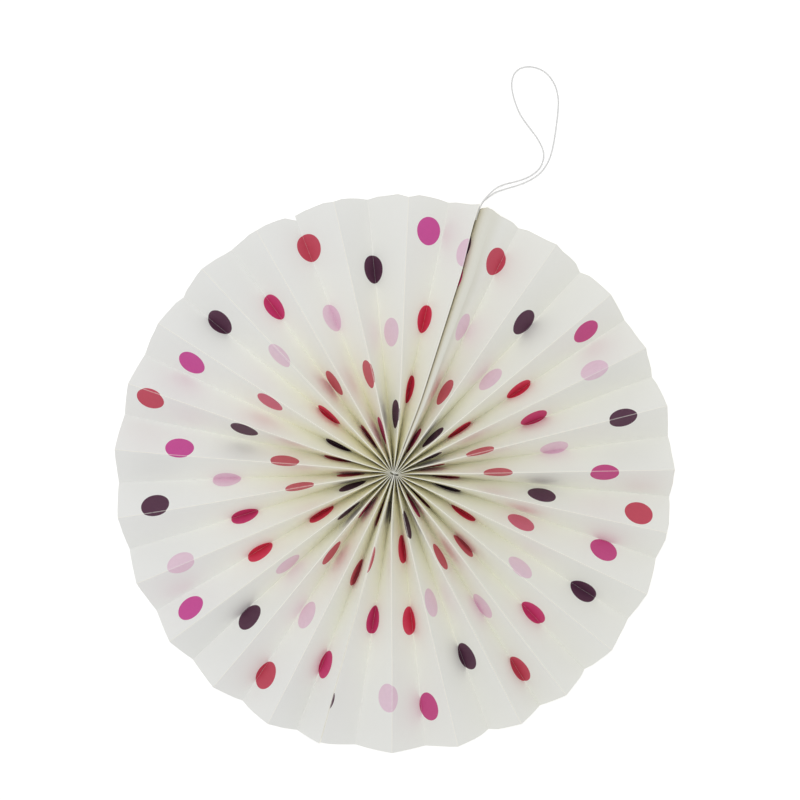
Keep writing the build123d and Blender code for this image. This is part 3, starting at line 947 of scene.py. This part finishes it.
def overhand(centre, outwards, size, flatten=1.0):
    """The closed line of a simple knot, about a centre, facing outwards."""
    out = outwards.normalized()
    side = out.cross(Vector((0, 0, 1))).normalized()
    up = side.cross(out)
    line = []
    for step in range(KNOT_POINTS):
        turn = TAU * step / KNOT_POINTS
        sideways = math.sin(turn) + 2 * math.sin(2 * turn)
        upwards = math.cos(turn) - 2 * math.cos(2 * turn)
        forward = -math.sin(3 * turn) * flatten
        line.append(centre + (side * sideways + up * upwards) * (size / 3) + out * forward * size / 2)
    return line


# ------------------------------------------------------------------ camera, light and floor
CAMERA_HEIGHT = 0.815
PLAN_POINT = (3.04 * MM, 39.1 * MM)
LENS, FILM_WIDTH = 67.4, 36.0
WHITE = (1.0, 1.0, 1.0, 1.0)
ROOM_LIGHT = 0.68
FLOOR_REACH = 30.0
FLOOR_DROP = 0.02 * MM
FLOOR_WHITE = (0.93, 0.93, 0.93, 1.0)
FLOOR_GLOW = 0.3

camera_data = bpy.data.cameras.new("camera")
camera_data.sensor_width = FILM_WIDTH
camera_data.lens = LENS
camera_data.clip_start = 0.01
camera = put("camera", camera_data)
camera.location = (*PLAN_POINT, CAMERA_HEIGHT)
bpy.context.scene.camera = camera


def soft_light(name, place, aim, size, power):
    data = bpy.data.lights.new(name, "AREA")
    data.shape = "DISK"
    data.size = size
    data.energy = power
    light = put(name, data)
    light.location = place
    light.rotation_euler = (Vector(aim) - Vector(place)).to_track_quat("-Z", "Y").to_euler()


def pale_floor():
    """A wide white floor just below the fan, which glows a little so that it stays white."""
    mesh = bpy.data.meshes.new("floor")
    corners = [(x * FLOOR_REACH, y * FLOOR_REACH, 0.0) for x, y in ((-1, -1), (1, -1), (1, 1), (-1, 1))]
    mesh.from_pydata(corners, [], [(0, 1, 2, 3)])
    floor = put("floor", mesh)
    floor.location.z = -FLOOR_DROP
    material, _, shader = new_material("floor_white")
    shader.inputs["Base Color"].default_value = FLOOR_WHITE
    shader.inputs["Roughness"].default_value = 0.9
    shader.inputs["Specular IOR Level"].default_value = 0.1
    shader.inputs["Emission Color"].default_value = WHITE
    shader.inputs["Emission Strength"].default_value = FLOOR_GLOW
    mesh.materials.append(material)


scene = bpy.context.scene
scene.view_settings.view_transform = "Standard"
scene.view_settings.look = "None"
world = bpy.data.worlds.new("soft_room")
world.use_nodes = True
room = world.node_tree.nodes["Background"]
room.inputs["Color"].default_value = WHITE
room.inputs["Strength"].default_value = ROOM_LIGHT
scene.world = world
scene.cycles.diffuse_bounces = 14
scene.cycles.max_bounces = 18
soft_light("overhead", place=(-0.25, 0.35, 1.5), aim=(0.0, 0.0, 0.0), size=1.2, power=4.5)
pale_floor()

# ------------------------------------------------------------------ threads, first of all the loop
thread = white_thread()
loop_line = evenly(smooth_line(LOOP_ROUTE), LOOP_STEP)
loop = spun_thread("hanging_loop_thread", loop_line, LOOP_FLUFF)
loop.data.materials.append(thread)

seam_out = Vector((math.sin(SEAM_BEARING), math.cos(SEAM_BEARING), 0.0))
knot_face = (loop_line[0] + loop_line[-1]) / 2
knot_line = overhand(knot_face - seam_out * KNOT_SINK, seam_out, 0.55 * MM)
knot = spun_thread("loop_overhand_knot", knot_line, 0.45 * MM, twist=1.4 * MM, sides=6, closed=True)
knot.data.materials.append(thread)

tie_low, tie_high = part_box("centre_tie")
tie_height = (tie_low.z + tie_high.z) / 2
tie_bearings = [TAU * step / TIE_POINTS for step in range(TIE_POINTS)]
tie_line = [Vector((TIE_RADIUS * math.sin(bearing), TIE_RADIUS * math.cos(bearing), tie_height))
            for bearing in tie_bearings]
tie = spun_thread("centre_tie_thread", tie_line, TIE_THREAD, twist=2.3 * MM, sides=6, closed=True)
tie.data.materials.append(thread)
tie_knot_line = overhand(seam_out * TIE_RADIUS + Vector((0, 0, tie_height)), seam_out, 0.5 * MM, 0.8)
tie_knot = spun_thread("centre_tie_knot", tie_knot_line, 0.4 * MM, twist=1.2 * MM, sides=6, closed=True)
tie_knot.data.materials.append(thread)

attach(loop, "root")
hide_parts("hanging_loop")
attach(knot, "root")
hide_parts("loop_knot")
for piece in (tie, tie_knot):
    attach(piece, "root")
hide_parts("centre_tie")

# ------------------------------------------------------------------ the two sheets
RIGHT_SEED, LEFT_SEED = 11, 23

finishes = (printed_paper(), plain_paper(), cut_edge())
sheet_tree = pleated_sheet_tree()


def right_print():
    spots = list(RIGHT_FLAP_PRINT)
    for turn in (-1, 0, 1):
        for along, out, ink in PRINT:
            along += PRINT_REPEAT * turn
            along += RIGHT_PRINT_SLIP if along > RIGHT_SLIP_FROM else 0.0
            spots.append((along, out, ink))
    return spots


def left_print():
    spots = []
    slip_start, slip_end = LEFT_SLIP_PANELS
    for turn in (-1, 0, 1):
        for along, out, ink in PRINT:
            along = LEFT_PRINT_START - along - PRINT_REPEAT * turn
            along -= LEFT_PRINT_SLIP if slip_start < along < slip_end else 0.0
            spots.append((along, out + LEFT_PRINT_SHIFT, "orchid" if ink == "magenta" else ink))
    return spots


right_folds = fold_table(RIGHT_SPREAD, RIGHT_ANGLE, SEAM_LEAN, RIGHT_TRIM, soft=True)
right = folded_sheet("right_pleated_sheet", right_folds, right_print(), 1, RIGHT_SEED,
                     finishes, sheet_tree)
left_folds = fold_table(LEFT_SPREAD, LEFT_ANGLE, -SEAM_LEAN, LEFT_TRIM, LEFT_STEPPED_TRIM)
left = folded_sheet("left_pleated_sheet", left_folds, left_print(), -1, LEFT_SEED,
                    finishes, sheet_tree)
for sheet, node in ((right, "right_sheet"), (left, "left_sheet")):
    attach(sheet, "root")
    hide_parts(node)

# ------------------------------------------------------------------ the two tapes
TAPE_CUTS = 30

tape = clear_tape()
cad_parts["lower_seam_tape"].data.materials.clear()
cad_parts["lower_seam_tape"].data.materials.append(tape)


def eased(share, start, end):
    """share's way from start to end, eased, as in a ramp."""
    way = min(1.0, max(0.0, (share - start) / (end - start)))
    return way * way * (3.0 - 2.0 * way)


def leaning_tape(name, node_name):
    """The upper tape, cut across and shifted so that it leans with the two flaps it joins."""
    work = bmesh.new()
    work.from_mesh(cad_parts[node_name].data)
    bmesh.ops.remove_doubles(work, verts=work.verts, dist=1e-6)
    for cut in range(1, TAPE_CUTS):
        reach = RIM_RADIUS * cut / TAPE_CUTS
        bmesh.ops.bisect_plane(work, geom=list(work.verts) + list(work.edges) + list(work.faces),
                               plane_co=seam_out * reach, plane_no=seam_out)
    aside = Vector((seam_out.y, -seam_out.x, 0.0))
    for vertex in work.verts:
        share = (vertex.co.dot(seam_out) - EYE_RADIUS) / (RIM_RADIUS - EYE_RADIUS)
        rise, fall = eased(share, LEAN_START, LEAN_FULL), eased(share, LEAN_EASES, LEAN_OVER)
        vertex.co += aside * SEAM_LEAN * rise * (1.0 - (1.0 - LEAN_LEFT) * fall)
    mesh = bpy.data.meshes.new(name)
    work.to_mesh(mesh)
    work.free()
    mesh.materials.append(tape)
    piece = put(name, mesh)
    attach(piece, "root")
    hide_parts(node_name)


leaning_tape("upper_leaning_tape", "upper_seam_tape")
